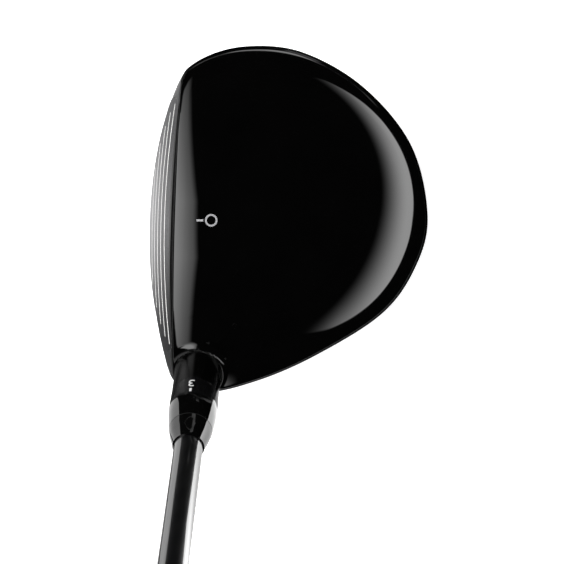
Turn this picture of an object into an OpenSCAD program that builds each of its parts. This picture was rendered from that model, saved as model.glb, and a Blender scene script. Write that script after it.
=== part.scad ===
// Adjustable fairway wood: hollow cast head, two-piece indexing hosel, graphite shaft and rubber grip.
// Frame: -Y is the target side (the face), +Y the back, -X the toe, +X the heel, +Z up.
// The origin is on the ground under the flat pad of the sole.

/* [Head] */
// Loft of the face at its centre, degrees
loft = 17; // [15:0.5:19]
// Radius of the face's bulge and roll
face_r = 280; // [250:10:320]
// Height of the crown's highest point over the ground
crown_h = 40; // [38:1:42]
// Thickness of the crown shell
crown_t = 1; // [0.8:0.1:1.4]
// Thickness of the side walls of the cast body
wall_t = 1.3; // [1.1:0.1:1.6]
// Thickness of the cast body behind the face frame
frame_t = 4.4; // [4:0.1:5]
// Thickness of the sole plate
sole_t = 2.2; // [2:0.1:3]
// Width of the ledge that carries the crown
ledge_w = 4; // [3:0.5:5]
// Height of the flat resting pad under the sole
pad_h = 0.6; // [0.4:0.1:0.8]

/* [Face insert] */
// Thickness of the face insert
insert_t = 2.4; // [2:0.1:2.6]
// Width of the seat around the insert's back
seat_w = 2.8; // [2:0.1:3]
// Number of score lines
score_count = 5; // [3:1:6]
// Distance between score lines
score_gap = 5; // [3.6:0.1:5]
// Width of a score line
score_w = 0.8; // [0.6:0.1:0.9]
// Depth of a score line
score_d = 0.4; // [0.2:0.1:0.5]

/* [Hosel and sleeve] */
// Lie angle of the hosel, degrees
lie = 57; // [56:0.5:59]
// Tilt of the shaft's bore in the sleeve, degrees
sleeve_tilt = 0.75; // [0.5:0.25:1]
// Outer radius of the hosel
hosel_r = 7.1; // [7:0.1:7.3]
// Largest radius of the sleeve's collar
collar_r = 7.3; // [7.2:0.1:7.5]
// Radius of the bore that takes the sleeve
hosel_bore_r = 5.6; // [5.5:0.05:5.7]
// Radial running clearance
clearance = 0.05; // [0.02:0.01:0.08]
// Height of the ring's locking tabs
tab_h = 1.6; // [1.2:0.1:2]
// Number of locking tabs, and of index positions
tab_count = 4; // [4:1:6]

/* [Shaft and grip] */
// Length of the club along the shaft
club_len = 1080; // [1050:5:1110]
// Outer radius of the shaft's parallel tip
tip_r = 4.3; // [4.25:0.05:4.4]
// Outer radius of the shaft's butt
butt_r = 7.6; // [7.3:0.1:7.8]
// Wall of the shaft
shaft_wall = 1.3; // [1:0.1:1.8]
// Length of the grip
grip_len = 270; // [260:5:280]
// Thickness of the grip tape
tape_t = 0.3; // [0.2:0.1:0.4]

/* [Hidden] */
$fn = 96;

// Plan outline of the head's rim, anticlockwise from the back seen from above.
// Its front runs ahead of the face, which trims it.
rim_points = [
    [-3, 66.1], [-25, 61], [-43, 46.2], [-53.8, 27.3], [-55.5, 10], [-51.5, -3.5], [-43, -12.5], [-28, -20],
    [0, -27], [28, -25], [45.5, -15.5], [51.2, -3], [48, 13], [40.2, 31.2], [27.3, 51.8], [13, 62.2]
];
head_centre = [-3, 20];
spokes = 72;
crown_peak = [-2, 4];
crown_fall_toe = 0.0052;
crown_fall_heel = 0.0045;
crown_fall_back = 0.0049;
crown_fall_front = 0.006;
sole_low = [0, 4];
sole_rise_side = 0.0038;
sole_rise_back = 0.0029;
sole_rise_front = 0.0035;
skirt_in = 3;
rim_drop = 2;
ledge_t = 1;
body_top_t = crown_t + ledge_t;

// The face is part of a large sphere, square to the loft at face_mid.
face_mid = [6, -17.6, 20];
face_ball = face_mid + face_r * [0, cos(loft), -sin(loft)];

// Distances along the hosel's axis, from the point where it meets the ground.
axis_foot = [25.4, -4.2, 0];
hosel_top = 49.8;
ring_top = 57.6;
collar_top = 66.7;
ferrule_top = 75;
hosel_floor_low = 14;
hosel_floor_high = 17;
screw_hole_r = 2.7;
counterbore_r = 4.9;
sleeve_low = 25;
stem_r = hosel_bore_r - clearance;
screw_r = 2.5;
screw_pitch = 0.8;
screw_head_r = 4.2;
screw_head_h = 4;
screw_end = 30.5;
screw_washer_t = 1.2;
retainer_low = 23.2;
retainer_t = 1.5;
shaft_low = 37;
tip_len = 84;
ferrule_low_r = 6.45;
ferrule_top_r = 4.75;

// The weight's port stands square to the sole.
port_at = [-2, 46];
port_tilt = atan(2 * sole_rise_back * (port_at[1] - sole_low[1]));
port_r = 7.1;
port_depth = 3.4;
port_screw_r = 4;
weight_recess = 0.3;
weight_washer_t = 0.4;

slot_y = -12;
slot_w = 3.2;
slot_half = 22;
slot_depth = 5.5;
slot_wall = 1.2;
slot_curve_r = 1 / (2 * sole_rise_side);

grip_low = club_len - grip_len;

function clamp01(v) = min(1, max(0, v));
function mix(a, b, t) = a + (b - a) * t;
function bend(a, b, c, t) = (1 - t) * (1 - t) * a + 2 * t * (1 - t) * b + t * t * c;
function smooth_min(a, b, k) = let (h = max(k - abs(a - b), 0) / k) min(a, b) - h * h * k / 4;

function through(a, b, c, d, f) =
    0.5 * (2 * b + (c - a) * f + (2 * a - 5 * b + 4 * c - d) * f * f + (3 * b - a - 3 * c + d) * f * f * f);
function rim_point(u) =
    let (m = len(rim_points), i = floor(u * m), f = u * m - i)
    through(rim_points[(i + m - 1) % m], rim_points[i % m], rim_points[(i + 1) % m],
            rim_points[(i + 2) % m], f);

function crown_z(p) =
    let (v = p - crown_peak)
    crown_h - (v[0] < 0 ? crown_fall_toe : crown_fall_heel) * v[0] * v[0]
    - (v[1] > 0 ? crown_fall_back : crown_fall_front) * v[1] * v[1];
function sole_z(p) =
    let (v = p - sole_low)
    pad_h + sole_rise_side * v[0] * v[0] + (v[1] > 0 ? sole_rise_back : sole_rise_front) * v[1] * v[1];

// Reach of a level line from the head's centre to the face, along direction d at height z
function face_reach(d, z) =
    let (v = head_centre - [face_ball[0], face_ball[1]], b = d * v, h = z - face_ball[2])
    -b + sqrt(b * b - v * v - h * h + face_r * face_r);

// A spoke holds its direction, its length to the rim and the height of the rim.
function spoke(u) =
    let (p = rim_point(u), v = p - head_centre)
    [v / norm(v), norm(v), crown_z(p) - rim_drop];
function plan(s, r) = head_centre + s[0] * r;
function wall_reach(s, z, inset) =
    let (t = clamp01((s[2] - z) / s[2]), is_front = s[0][1] < -0.2)
    smooth_min(s[1] - skirt_in * t * t - (inset > 0 ? wall_t : 0),
               face_reach(s[0], z) - (inset > 0 ? frame_t : 0), 3);
function top_corner(s, inset, r, n) =
    n == 0 ? r
    : top_corner(s, inset, 0.5 * r + 0.5 * wall_reach(s, crown_z(plan(s, r)) - inset * body_top_t, inset), n - 1);
function sole_corner(s, inset, r, n) =
    n == 0 ? r
    : sole_corner(s, inset, 0.5 * r + 0.5 * wall_reach(s, sole_z(plan(s, r)) + inset * sole_t, inset), n - 1);

// Edge roundings: crisp along the topline, soft round the back, softest under the toe
function top_round(s, r) = mix(0.8, 1.4, clamp01((plan(s, r)[1] + 11) / 12));
function sole_round(s, r) =
    let (p = plan(s, r))
    mix(4.5, 12, clamp01(max((abs(p[0]) - 10) / 32, (p[1] + 8) / 16)));

// Section of the head along a spoke, from the crown's edge down to the sole, as [reach, height] pairs
function edge_section(s, inset, n_top, n_wall, n_low) =
    let (r1 = top_corner(s, inset, s[1], 24), r2 = sole_corner(s, inset, s[1], 24),
         z1 = crown_z(plan(s, r1)) - inset * body_top_t, z2 = sole_z(plan(s, r2)) + inset * sole_t,
         f1 = top_round(s, r1), f2 = min(sole_round(s, r1), z1 - z2 - f1 - 0.6),
         zt = z1 - f1, zl = z2 + f2,
         top_a = [r1 - f1, crown_z(plan(s, r1 - f1)) - inset * body_top_t],
         top_c = [wall_reach(s, zt, inset), zt],
         low_a = [wall_reach(s, zl, inset), zl],
         low_c = [r2 - 1.2 * f2, sole_z(plan(s, r2 - 1.2 * f2)) + inset * sole_t])
    concat(
        [for (i = [0:n_top]) bend(top_a, [r1, z1], top_c, i / n_top)],
        [for (i = [1:1:n_wall]) let (z = mix(zt, zl, i / (n_wall + 1))) [wall_reach(s, z, inset), z]],
        [for (i = [0:n_low]) bend(low_a, [r2, z2], low_c, i / n_low)]
    );

// Reach of the crown's seam: just inside the rim, and clear of the hosel
hosel_plan = [47, -4.2];
hosel_keep_r = 10.5;
function seam_reach(s) =
    let (r1 = top_corner(s, 0, s[1], 24), v = hosel_plan - head_centre, b = s[0] * v,
         q = hosel_keep_r * hosel_keep_r - v * v + b * b)
    min(r1 - top_round(s, r1) - 1.2, b > 0 && q > 0 ? b - sqrt(q) : s[1]);
function at_crown(s, r, below) = let (p = plan(s, r)) [p[0], p[1], crown_z(p) - below];
function at_sole(s, r, above) = let (p = plan(s, r)) [p[0], p[1], sole_z(p) + above];
function on_spoke(s, q) = let (p = plan(s, q[0])) [p[0], p[1], q[1]];

// Closed skin from rows of points that share one order, with a pole at each end
function skin_faces(rows, n) =
    let (first_pole = rows * n, last_pole = rows * n + 1)
    concat(
        [for (j = [0:rows - 2], i = [0:n - 1]) [j * n + (i + 1) % n, j * n + i, (j + 1) * n + i]],
        [for (j = [0:rows - 2], i = [0:n - 1])
            [(j + 1) * n + (i + 1) % n, j * n + (i + 1) % n, (j + 1) * n + i]],
        [for (i = [0:n - 1]) [first_pole, i, (i + 1) % n]],
        [for (i = [0:n - 1]) [last_pole, (rows - 1) * n + (i + 1) % n, (rows - 1) * n + i]]
    );
module skin(columns, first_pole, last_pole) {
    n = len(columns);
    rows = len(columns[0]);
    polyhedron(points = concat([for (j = [0:rows - 1], i = [0:n - 1]) columns[i][j]], [first_pole, last_pole]),
               faces = skin_faces(rows, n), convexity = 8);
}
function reverse(v) = [for (i = [len(v) - 1:-1:0]) v[i]];

function body_column(s) =
    let (seam = seam_reach(s), ledge = seam - ledge_w,
         outer = edge_section(s, 0, 3, 2, 4), inner = edge_section(s, 1, 2, 1, 3),
         r_out = outer[len(outer) - 1][0], r_in = inner[len(inner) - 1][0])
    concat(
        [for (f = [0.3, 0.65]) at_sole(s, r_out * f, 0)],
        [for (q = reverse(outer)) on_spoke(s, q)],
        [at_crown(s, seam, 0), at_crown(s, seam, crown_t), at_crown(s, ledge, crown_t),
         at_crown(s, ledge, body_top_t)],
        [for (q = inner) on_spoke(s, q)],
        [for (f = [0.65, 0.3]) at_sole(s, r_in * f, sole_t)]
    );
module body_shell() {
    columns = [for (i = [0:spokes - 1]) body_column(spoke(i / spokes))];
    low = sole_z(head_centre);
    skin(columns, [head_centre[0], head_centre[1], low], [head_centre[0], head_centre[1], low + sole_t]);
}

module crown() {
    columns = [for (i = [0:spokes - 1])
        let (s = spoke(i / spokes), seam = seam_reach(s), ledge = seam - ledge_w)
        concat(
            [for (f = [0.2, 0.4, 0.6, 0.8, 1]) at_crown(s, ledge * f, crown_t)],
            [at_crown(s, seam, crown_t), at_crown(s, seam, 0)],
            [for (f = [1, 0.8, 0.6, 0.4, 0.2]) at_crown(s, ledge * f, 0)]
        )];
    top = crown_z(head_centre);
    color("black")
        skin(columns, [head_centre[0], head_centre[1], top - crown_t], [head_centre[0], head_centre[1], top]);
}

// Local frames: the hosel's axis, the shaft's axis and the weight's axis are each local Z.
module hosel_frame() { translate(axis_foot) rotate([0, 90 - lie, 0]) children(); }
module shaft_frame() {
    hosel_frame() translate([0, 0, ring_top]) rotate([0, -sleeve_tilt, 0]) translate([0, 0, -ring_top])
        children();
}
module port_frame() {
    translate([port_at[0], port_at[1], sole_z(port_at)]) rotate([port_tilt, 0, 0]) children();
}
module face_frame() { translate(face_mid) rotate([90 - loft, 0, 0]) children(); }
module tube(r_out, r_in, low, high) {
    translate([0, 0, low]) difference() {
        cylinder(r = r_out, h = high - low);
        translate([0, 0, -1]) cylinder(r = r_in, h = high - low + 2);
    }
}
module rod(r, low, high) { translate([0, 0, low]) cylinder(r = r, h = high - low); }
module lobed_socket(low, high) {
    rod(1.75, low, high);
    for (i = [0:5]) rotate(60 * i) translate([1.75, 0, 0]) rod(0.5, low, high);
}

module hosel_tube() {
    sole_slope = atan(2 * sole_rise_side * (axis_foot[0] + 14));
    intersection() {
        hosel_frame() rod(hosel_r, -4, hosel_top);
        translate([axis_foot[0], -20, sole_z([axis_foot[0], -4]) + 1.2]) rotate([0, -sole_slope, 0])
            translate([-20, 0, 0]) cube([80, 40, 60]);
    }
}
module hosel_bores() {
    hosel_frame() {
        rod(counterbore_r, -8, hosel_floor_low);
        rod(screw_hole_r, hosel_floor_low - 1, hosel_floor_high + 1);
        rod(hosel_bore_r, hosel_floor_high, hosel_top + 5);
        lock_tabs(0.02, hosel_bore_r - 1, hosel_r + 1);
    }
}
// Tabs under the ring that lock it in the hosel's notches, each with sloped flanks
module lock_tabs(gap, r_in, r_out) {
    intersection() {
        tube(r_out, r_in, hosel_top - tab_h - gap, hosel_top + 1);
        for (i = [0:tab_count - 1]) rotate([90, 0, 270 + 360 / tab_count * i])
            translate([0, hosel_top, 0]) linear_extrude(height = 20)
                polygon([[-2.8 - gap, 0.5 + gap], [-2.8 - gap, 0], [-1.4 - gap, -tab_h - gap],
                         [1.4 + gap, -tab_h - gap], [2.8 + gap, 0], [2.8 + gap, 0.5 + gap]]);
    }
}

// Curved trough behind the leading edge; depths count from the sole's surface
module slot_sector(half_len, width, deep_from, deep_to) {
    centre_z = slot_curve_r + sole_z([0, slot_y]);
    intersection() {
        translate([-half_len, slot_y - width / 2, -5]) cube([2 * half_len, width, 30]);
        translate([0, slot_y + width, centre_z]) rotate([90, 0, 0]) difference() {
            cylinder(r = slot_curve_r - deep_from, h = 2 * width, $fn = 360);
            translate([0, 0, -1]) cylinder(r = slot_curve_r - deep_to, h = 2 * width + 2, $fn = 360);
        }
    }
}

// The insert's outline, seen square to the face: an arc below, straight sides and top, rounded corners
insert_side = 39.2;
insert_top = 13.2;
insert_low_r = 47.5;
insert_low = -17.1;
insert_low_up = insert_low + insert_low_r;
function insert_outline() =
    let (low_r = insert_low_r, low_up = insert_low_up, side = insert_side, top = insert_top, corner = 7,
         low_angle = acos((side - corner * 0.6) / low_r),
         side_z = low_up - low_r * sin(low_angle))
    concat(
        [for (i = [0:24]) let (a = mix(180 + low_angle, 360 - low_angle, i / 24))
            [low_r * cos(a), low_up + low_r * sin(a)]],
        [for (i = [0:6]) bend([side - corner * 0.6, side_z], [side, side_z + corner * 0.4],
                              [side, side_z + corner * 0.9], (i + 1) / 7)],
        [for (i = [0:6]) bend([side, top - corner], [side, top], [side - corner, top], i / 6)],
        [for (i = [0:6]) bend([corner - side, top], [-side, top], [-side, top - corner], i / 6)],
        [for (i = [0:6]) bend([-side, side_z + corner * 0.9], [-side, side_z + corner * 0.4],
                              [corner * 0.6 - side, side_z], i / 7)]
    );
module insert_prism(low, high) {
    face_frame() translate([-face_mid[0] - 0.5, 0, low]) linear_extrude(height = high - low)
        polygon(insert_outline());
}
// Window behind the insert, which leaves the insert's seat around it
function window_outline() =
    let (r = insert_low_r - seat_w, side = insert_side - seat_w, top = insert_top - seat_w)
    concat([for (x = [-31.5, -22, -8, 8, 22, 31.5]) [x, insert_low_up - sqrt(r * r - x * x)]],
           [[side - 0.9, 4.6], [side - 5.4, top], [5.4 - side, top], [0.9 - side, 4.6]]);
module face_ball_shape(depth) { translate(face_ball) sphere(r = face_r - depth, $fn = 360); }

module body() {
    color("silver") difference() {
        union() {
            body_shell();
            hosel_tube();
            port_frame() rod(port_r + 2.1, 0.8, 8.5);
            slot_sector(slot_half + slot_wall, slot_w + 2 * slot_wall, 1.2, slot_depth + slot_wall);
            rod(7, 0, sole_t);
        }
        hosel_bores();
        port_frame() {
            rod(port_r, -5, port_depth);
            rod(port_screw_r + clearance, 0, 20);
        }
        slot_sector(slot_half, slot_w, -3, slot_depth);
        difference() {
            insert_prism(-15, 10);
            face_ball_shape(insert_t);
        }
        face_frame() translate([-face_mid[0] - 0.5, 0, -frame_t - 2.6])
            linear_extrude(height = frame_t + 3.6 - insert_t) polygon(window_outline());
    }
}

module face_insert() {
    color("lightgray") difference() {
        intersection() {
            insert_prism(-15, 10);
            face_ball_shape(0);
        }
        face_ball_shape(insert_t);
        score_lines();
    }
}
// The score lines follow the insert's outline, well inside it.
score_low = insert_low + 6.1;
function score_half(up) =
    min(insert_side - 2.2, sqrt(insert_low_r * insert_low_r - (insert_low_up - up) * (insert_low_up - up)) - 4.8);
module score_lines() {
    difference() {
        for (i = [0:score_count - 1]) let (up = score_low + score_gap * i, half = score_half(up)) face_frame()
            translate([-face_mid[0] - 0.5 - half, up - score_w / 2, -20]) cube([2 * half, score_w, 40]);
        face_ball_shape(score_d);
    }
}

module sole_slot_filler() { color("dimgray") slot_sector(slot_half, slot_w, 0.3, slot_depth); }

module weight_screw() {
    color("silver") port_frame() difference() {
        union() {
            rod(port_r - clearance, weight_recess, port_depth - weight_washer_t);
            rod(port_screw_r, port_depth - weight_washer_t - 0.5, 9.5);
        }
        lobed_socket(-1, 2.4);
    }
}
module weight_washer() {
    color("black") port_frame()
        tube(6.6, port_screw_r + clearance, port_depth - weight_washer_t, port_depth);
}

module hosel_screw() {
    head_top = hosel_floor_low - screw_washer_t;
    color("silver") hosel_frame() difference() {
        union() {
            rod(screw_head_r, head_top - screw_head_h, head_top);
            rod(screw_r, head_top - 1, screw_end);
        }
        lobed_socket(0, head_top - screw_head_h + 2.6);
    }
}
module screw_washer() {
    color("gray") hosel_frame()
        tube(4.6, screw_r + clearance, hosel_floor_low - screw_washer_t, hosel_floor_low);
}
module screw_retainer() {
    color("white") hosel_frame() tube(4.8, screw_r, retainer_low, retainer_low + retainer_t);
}

module hosel_ring() {
    color("black") hosel_frame() {
        rotate_extrude() polygon([[hosel_bore_r, hosel_top], [hosel_r + 0.05, hosel_top],
                                  [collar_r, ring_top - 1], [collar_r, ring_top],
                                  [hosel_bore_r, ring_top]]);
        lock_tabs(0, hosel_bore_r, hosel_r);
    }
}

module sleeve() {
    color("black") difference() {
        hosel_frame() {
            rod(stem_r, sleeve_low, ring_top + 1);
            rotate_extrude() polygon([[0, ring_top], [collar_r, ring_top], [collar_r, ring_top + 0.8],
                                      [mix(collar_r, ferrule_low_r, 0.35), ring_top + 4.5],
                                      [ferrule_low_r, collar_top], [ferrule_low_r, collar_top + 1],
                                      [0, collar_top + 1]]);
        }
        hosel_frame() rod(screw_r + clearance, sleeve_low - 1, shaft_low - 3);
        shaft_frame() {
            rod(20, collar_top, collar_top + 10);
            rod(tip_r, shaft_low, collar_top + 1);
        }
    }
}

module ferrule() {
    color("black") shaft_frame() rotate_extrude()
        polygon([[tip_r, collar_top], [ferrule_low_r, collar_top], [5.75, collar_top + 4],
                 [ferrule_top_r + 0.1, ferrule_top - 1.1], [ferrule_top_r, ferrule_top], [tip_r, ferrule_top]]);
}

shaft_top = club_len - 3;
function shaft_r(s) = mix(tip_r, butt_r, clamp01((s - shaft_low - tip_len) / (shaft_top - shaft_low - tip_len)));
module shaft() {
    color("black") shaft_frame() rotate_extrude() polygon([
        [tip_r - shaft_wall, shaft_low], [tip_r, shaft_low], [tip_r, shaft_low + tip_len], [butt_r, shaft_top],
        [butt_r - shaft_wall, shaft_top], [tip_r - shaft_wall, shaft_low + tip_len]
    ]);
}
module tip_weight() { color("goldenrod") shaft_frame() rod(tip_r - shaft_wall, shaft_low, shaft_low + 12); }
module tip_plug() {
    color("tan") shaft_frame() rod(tip_r - shaft_wall, shaft_low + 12, shaft_low + 22);
}

module grip_tape() {
    a = grip_low + 6;
    b = shaft_top - 4;
    color("beige") shaft_frame() rotate_extrude() polygon([
        [shaft_r(a), a], [shaft_r(a) + tape_t, a], [shaft_r(b) + tape_t, b], [shaft_r(b), b]
    ]);
}
module grip() {
    a = grip_low + 6;
    b = shaft_top - 4;
    color("black") shaft_frame() rotate_extrude() polygon([
        [shaft_r(grip_low), grip_low], [8.5, grip_low], [8.9, grip_low + 1.5], [9.2, grip_low + 30],
        [11.2, grip_low + 150], [12.7, shaft_top - 22], [13.5, shaft_top - 5], [13.5, shaft_top],
        [shaft_r(shaft_top), shaft_top], [shaft_r(b), b], [shaft_r(b) + tape_t, b],
        [shaft_r(a) + tape_t, a], [shaft_r(a), a]
    ]);
}
module grip_cap() {
    color("black") shaft_frame() rotate_extrude() polygon([
        [1, shaft_top], [13.5, shaft_top], [13.5, shaft_top + 1], [12.2, shaft_top + 2.6],
        [8, shaft_top + 3], [1, shaft_top + 3]
    ]);
}

module hot_melt() {
    color("ivory") translate([14, 22, sole_z([14, 22]) + sole_t - 0.1]) intersection() {
        translate([0, 0, -13]) sphere(r = 17);
        rod(14, 0, 10);
    }
}

body();
crown();
face_insert();
sole_slot_filler();
weight_screw();
weight_washer();
hosel_screw();
screw_washer();
screw_retainer();
hosel_ring();
sleeve();
ferrule();
shaft();
tip_weight();
tip_plug();
grip_tape();
grip();
grip_cap();
hot_melt();
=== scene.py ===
import math

import bmesh
import bpy
import numpy as np
from mathutils import Matrix, Vector


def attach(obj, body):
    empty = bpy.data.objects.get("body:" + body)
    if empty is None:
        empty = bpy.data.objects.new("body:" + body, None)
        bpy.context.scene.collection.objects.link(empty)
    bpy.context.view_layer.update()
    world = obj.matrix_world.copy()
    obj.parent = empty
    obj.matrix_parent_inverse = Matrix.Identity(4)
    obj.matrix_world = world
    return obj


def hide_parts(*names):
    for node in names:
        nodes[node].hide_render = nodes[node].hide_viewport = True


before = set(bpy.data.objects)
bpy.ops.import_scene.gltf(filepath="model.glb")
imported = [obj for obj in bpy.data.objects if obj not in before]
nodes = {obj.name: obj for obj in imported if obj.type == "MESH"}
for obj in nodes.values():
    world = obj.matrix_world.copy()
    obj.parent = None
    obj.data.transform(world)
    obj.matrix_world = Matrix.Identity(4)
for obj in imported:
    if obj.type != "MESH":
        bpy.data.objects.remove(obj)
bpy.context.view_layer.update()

# Camera over the golfer's eyes, looking down on the head at address.
# It leans a few degrees towards the toe, with the toe at the top of the view.
EYE = Vector((0.026, 0.060, 0.770))
LOOK = Vector((-0.01156, -0.05200, -1.0)).normalized()
HALF_VIEW = 0.1163846
toe_up = Vector((-1, 0, 0))
toe_up = (toe_up - LOOK * toe_up.dot(LOOK)).normalized()
right = LOOK.cross(toe_up)
camera = bpy.data.objects.new("camera", bpy.data.cameras.new("camera"))
camera.matrix_world = Matrix.Translation(EYE) @ Matrix((right, toe_up, -LOOK)).transposed().to_4x4()
camera.data.lens = camera.data.sensor_width / 2 / HALF_VIEW
camera.data.clip_start = 0.01
bpy.context.scene.collection.objects.link(camera)
bpy.context.scene.camera = camera
bpy.context.scene.view_settings.view_transform = "Standard"

# Floor: a pale paper sweep under soft light. The camera sees paper white, darkened only by the
# contact shadow under the head.
MM = 0.001
FLOOR_HALF = 12000
PAPER_GLOW = 0.9


def colour(hex_code):
    """An sRGB hex colour as Blender's linear colour."""
    parts = [int(hex_code[i:i + 2], 16) / 255 for i in (0, 2, 4)]
    return (*[p / 12.92 if p <= 0.04045 else ((p + 0.055) / 1.055) ** 2.4 for p in parts], 1)


def add_node(tree, kind, sockets=None, **settings):
    """Adds a shader node with its settings; a socket takes a value or another node's output."""
    node = tree.nodes.new(kind)
    for name, value in settings.items():
        setattr(node, name, value)
    for name, value in (sockets or {}).items():
        if isinstance(value, bpy.types.NodeSocket):
            tree.links.new(value, node.inputs[name])
        else:
            node.inputs[name].default_value = value
    return node


def new_material(name):
    """An empty node material and its tree."""
    material = bpy.data.materials.new(name)
    material.use_nodes = True
    material.node_tree.nodes.clear()
    return material, material.node_tree


def surface(tree, shader):
    """Makes a shader the surface of its material."""
    tree.links.new(shader.outputs[0], add_node(tree, "ShaderNodeOutputMaterial").inputs["Surface"])


def dress(piece, *materials):
    """Gives a piece its materials, in place of any it has."""
    piece.data.materials.clear()
    for material in materials:
        piece.data.materials.append(material)


def matt_sheet(tree, fibre_mm, detail, dark, light):
    """Paper or cloth: matt, with a colour that varies softly from fibre to fibre."""
    fibres = add_node(tree, "ShaderNodeTexNoise", {
        "Vector": add_node(tree, "ShaderNodeTexCoord").outputs["Object"], "Scale": 1 / (fibre_mm * MM),
        "Detail": detail,
    })
    tint = add_node(tree, "ShaderNodeMix", {0: fibres.outputs["Fac"], 6: colour(dark), 7: colour(light)},
                    data_type="RGBA")
    return add_node(tree, "ShaderNodeBsdfDiffuse", {"Color": tint.outputs[2]})


def seen_directly(tree):
    """1 for rays from the camera or through clear material, 0 for all others."""
    rays = add_node(tree, "ShaderNodeLightPath").outputs
    return add_node(tree, "ShaderNodeMath", {0: rays["Is Camera Ray"], 1: rays["Is Transmission Ray"]},
                    operation="MAXIMUM").outputs[0]


def mesh_piece(name, points, faces, crisp=None):
    """A smooth mesh from points in millimetres; edges sharper than the crisp angle stay crisp."""
    mesh = bpy.data.meshes.new(name)
    mesh.from_pydata([tuple(p) for p in np.asarray(points, float) * MM], [], faces)
    mesh.validate()
    shell = bmesh.new()
    shell.from_mesh(mesh)
    bmesh.ops.recalc_face_normals(shell, faces=shell.faces)
    shell.to_mesh(mesh)
    shell.free()
    mesh.shade_smooth()
    if crisp:
        mesh.set_sharp_from_angle(angle=math.radians(crisp))
    piece = bpy.data.objects.new(name, mesh)
    bpy.context.scene.collection.objects.link(piece)
    return piece


floor = mesh_piece("floor", [(x * FLOOR_HALF, y * FLOOR_HALF, 0) for x, y in ((-1, -1), (1, -1), (1, 1), (-1, 1))],
                   [(0, 1, 2, 3)])
paper, tree = new_material("studio_paper")
lit = matt_sheet(tree, 3, 4.0, "e4e4e4", "e6e6e6")
glow = add_node(tree, "ShaderNodeEmission", {"Color": (1, 1, 1, 1), "Strength": PAPER_GLOW})
both = add_node(tree, "ShaderNodeAddShader", {0: lit.outputs[0], 1: glow.outputs[0]})
surface(tree, add_node(tree, "ShaderNodeMixShader", {0: seen_directly(tree), 1: lit.outputs[0], 2: both.outputs[0]}))
dress(floor, paper)

# Flags and cards: level sheets by the head that only gloss and metal mirror, edges in millimetres.
# Painted reflections: the black flags put dark, and the glowing cards bright, into lacquer and steel.
# The black flags and the face's and heel's cards lie low; two cards stand as high as the sleeve.
FLAG_HIGH = 0.3
LOW_CARD_HIGH = 0.5
TOPLINE_FLAG_HIGH = 0.7
HIGH_CARD_HIGH = 48.2
FLAG_EDGE = [
    (61, -14), (64, -40), (130, -120), (110, -260), (-150, -330), (-300, -430), (-6000, -4200), (-6000, 500),
    (-700, 70), (-700, 240), (-6000, 2400), (-6000, 9000), (0, 900), (60, 220), (130, 80), (100, 1), (57, 1),
    (50, 14), (40, 30), (24, 46), (0, 30), (-40, 10), (-60, -14),
]
TOPLINE_FLAG_EDGE = [
    (-50, -31), (-30, -35.5), (-14, -37.5), (0, -38), (45, -34), (45, -40), (0, -41.5), (-14, -43), (-30, -41),
    (-50, -37),
]
FACE_CARD_EDGE = [(-64, -14), (54, -14), (56, -26), (61, -36), (46, -39), (34, -46), (10, -50), (-64, -54)]
HEEL_CARD_EDGE = [(40, 30), (44, 2), (58, 2), (60, 30)]
FRONT_CARD_EDGE = [
    (61, -11), (49, -12), (44, -17), (40, -22), (33, -29), (27, -35), (20, -44), (-60, -110), (-200, -240),
    (-150, -300), (60, -120), (76, -50), (70, -38), (64.5, -26), (62.5, -18),
]
BACK_CARD_EDGE = [
    (52.5, 2.5), (52.5, 12), (49.5, 19), (46, 30), (40, 40), (34, 50), (60, 80), (95, 60), (100, 10), (70, 0), (62, 2),
]
BACK_CARD_DIM = (85, 0)


def reflector(name, edge, material, high):
    """A level sheet that faces up and that only gloss and metal mirror."""
    sheet = mesh_piece(name, [(x, y, high) for x, y in edge], [tuple(range(len(edge)))])
    if sheet.data.polygons[0].normal.z < 0:
        sheet.data.flip_normals()
    sheet.visible_camera = sheet.visible_diffuse = sheet.visible_shadow = False
    sheet.visible_transmission = sheet.visible_volume_scatter = False
    dress(sheet, material)


def glowing_reflection_card(name, edge, high, fades, least=0.0):
    """A card that glows upwards only, by the product of its fades over a least strength; only gloss and metal see it,
    so its glow is a painted reflection.

    A fade names the way along the card, its start and end in millimetres, and its strength there.
    """
    material, tree = new_material(name)
    place = add_node(tree, "ShaderNodeTexCoord").outputs["Object"]
    x, y, _ = add_node(tree, "ShaderNodeSeparateXYZ", {0: place}).outputs
    far = add_node(tree, "ShaderNodeVectorMath", {0: place, 1: tuple(v * MM for v in (*BACK_CARD_DIM, high))},
                   operation="DISTANCE").outputs["Value"]
    ways = {"to heel": x, "to back": y, "from dim end": far}
    strength = 1.0
    for way, start, end, low, full in fades:
        fade = add_node(tree, "ShaderNodeMapRange", {0: ways[way], 1: start * MM, 2: end * MM, 3: low, 4: full},
                        interpolation_type="SMOOTHSTEP")
        strength = add_node(tree, "ShaderNodeMath", {0: fade.outputs[0], 1: strength}, operation="MULTIPLY").outputs[0]
    strength = add_node(tree, "ShaderNodeMath", {0: strength, 1: least}, operation="ADD").outputs[0]
    glow = add_node(tree, "ShaderNodeEmission", {"Strength": strength})
    clear = add_node(tree, "ShaderNodeBsdfTransparent")
    side = add_node(tree, "ShaderNodeNewGeometry").outputs["Backfacing"]
    surface(tree, add_node(tree, "ShaderNodeMixShader", {0: side, 1: glow.outputs[0], 2: clear.outputs[0]}))
    reflector(name, edge, material, high)


# Painted dark reflections: near-black sheets round the head and in front of the topline, which only gloss and metal
# mirror.
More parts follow.
